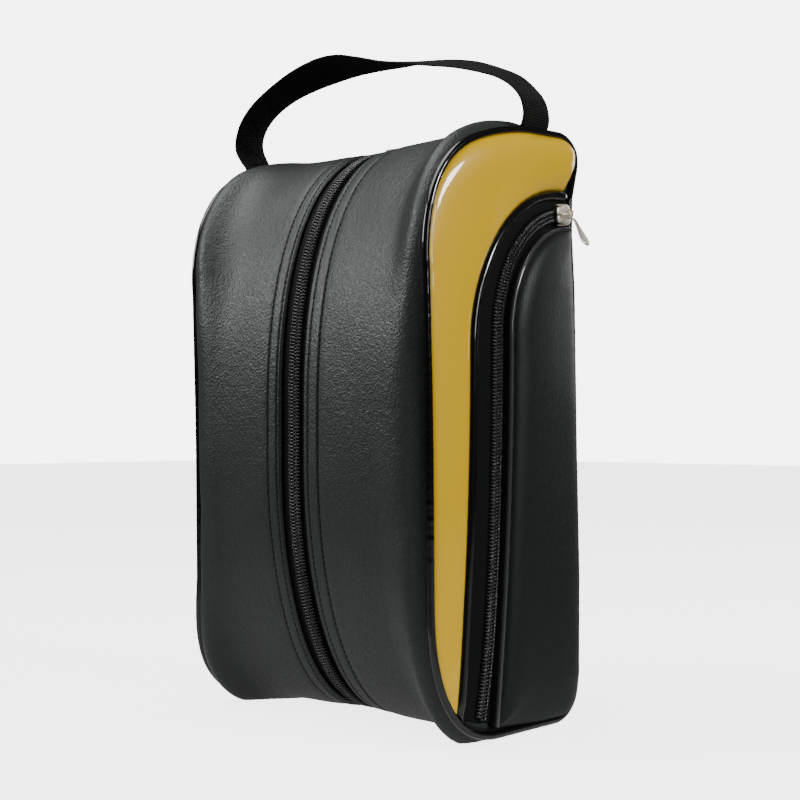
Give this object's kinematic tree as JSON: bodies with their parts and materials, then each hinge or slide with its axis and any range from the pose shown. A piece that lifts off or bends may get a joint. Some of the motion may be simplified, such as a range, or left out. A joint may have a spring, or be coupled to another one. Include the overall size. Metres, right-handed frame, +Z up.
{
  "type": "golf shoe bag",
  "caption": "Soft golf shoe bag with yellow patent side panels, a full-wrap front zip, zipped side pockets and a webbing carry handle.",
  "frame": {"origin": "centre of the footprint of the whole object, on the plane it stands on", "axes": "+X towards the right side panel, -Y towards the zipped front, +Z up"},
  "size_m": [0.2528, 0.1322, 0.4166],
  "materials": {
    "black_leather": "fine pebble grain, satin",
    "charcoal_leather": "smooth, matte",
    "yellow_patent": "high gloss patent",
    "black_patent": "high gloss patent",
    "grey_patent": "gloss",
    "webbing": "ribbed polyester webbing",
    "zip_tape": "woven tape",
    "zip_coil": "nylon coil",
    "slider_metal": "polished pale nickel",
    "lining": "plain woven polyester lining",
    "backing": "stiffened textile",
    "foam": "soft closed-cell foam"
  },
  "bodies": {
    "root": {"back_spine_leather": "black_leather", "back_spine_foam": "foam", "back_spine_lining": "lining", "zip_end_tab_top": "black_leather", "zip_end_tab_base": "black_leather", "handle_webbing": "webbing"},
    "right_wall": {"gusset_leather_right": "black_leather", "back_leather_right": "black_leather", "gusset_foam_right": "foam", "back_foam_right": "foam", "side_foam_right": "foam", "gusset_lining_right": "lining", "back_lining_right": "lining", "side_lining_right": "lining", "main_zip_tape_right": "zip_tape", "main_zip_coil_right": "zip_coil", "side_backing_right": "backing", "side_piping_right": "black_patent", "patent_panel_right": "yellow_patent", "pocket_binding_right": "black_patent", "pocket_tape_outer_right": "zip_tape", "pocket_tape_inner_right": "zip_tape", "pocket_coil_outer_right": "zip_coil", "pocket_coil_inner_right": "zip_coil", "pocket_piping_right": "grey_patent", "pocket_panel_right": "charcoal_leather", "pocket_lining_right": "lining"},
    "left_wall": {"gusset_leather_left": "black_leather", "back_leather_left": "black_leather", "gusset_foam_left": "foam", "back_foam_left": "foam", "side_foam_left": "foam", "gusset_lining_left": "lining", "back_lining_left": "lining", "side_lining_left": "lining", "main_zip_tape_left": "zip_tape", "main_zip_coil_left": "zip_coil", "side_backing_left": "backing", "side_piping_left": "black_patent", "patent_panel_left": "yellow_patent", "pocket_binding_left": "black_patent", "pocket_tape_outer_left": "zip_tape", "pocket_tape_inner_left": "zip_tape", "pocket_coil_outer_left": "zip_coil", "pocket_coil_inner_left": "zip_coil", "pocket_piping_left": "grey_patent", "pocket_panel_left": "charcoal_leather", "pocket_lining_left": "lining"},
    "main_slider": {"main_slider": "slider_metal"},
    "main_pull": {"main_pull": "slider_metal"},
    "pocket_slider_right": {"pocket_slider_right": "slider_metal"},
    "pocket_slider_left": {"pocket_slider_left": "slider_metal"},
    "pocket_pull_right": {"pocket_pull_right": "slider_metal"},
    "pocket_pull_left": {"pocket_pull_left": "slider_metal"}
  },
  "joints": [
    {"name": "right_wall_open", "type": "hinge", "parent": "root", "child": "right_wall", "pos_m": [0, 0.0631, 0.176], "axis": [0, 0, 1], "range_deg": [0, 25]},
    {"name": "left_wall_open", "type": "hinge", "parent": "root", "child": "left_wall", "pos_m": [0, 0.0631, 0.176], "axis": [0, 0, -1], "range_deg": [0, 25]},
    {"name": "main_slider_run", "type": "slide", "parent": "root", "child": "main_slider", "axis": [0, -1, 0], "range_m": [0, 0.033]},
    {"name": "main_pull_flip", "type": "hinge", "parent": "main_slider", "child": "main_pull", "pos_m": [0, 0.0341, 0.35575], "axis": [-1, 0, 0], "range_deg": [0, 170]},
    {"name": "pocket_slider_run_right", "type": "hinge", "parent": "right_wall", "child": "pocket_slider_right", "pos_m": [0.107, 0.0611, 0.238], "axis": [1, 0, 0], "range_deg": [0, 84]},
    {"name": "pocket_slider_run_left", "type": "hinge", "parent": "left_wall", "child": "pocket_slider_left", "pos_m": [-0.107, 0.0611, 0.238], "axis": [1, 0, 0], "range_deg": [0, 84]},
    {"name": "pocket_pull_swing_right", "type": "hinge", "parent": "pocket_slider_right", "child": "pocket_pull_right", "pos_m": [0.111, 0.05275, 0.30599], "axis": [0, -1, 0], "range_deg": [0, 120]},
    {"name": "pocket_pull_swing_left", "type": "hinge", "parent": "pocket_slider_left", "child": "pocket_pull_left", "pos_m": [-0.111, 0.05275, 0.30599], "axis": [0, 1, 0], "range_deg": [0, 120]}
  ]
}
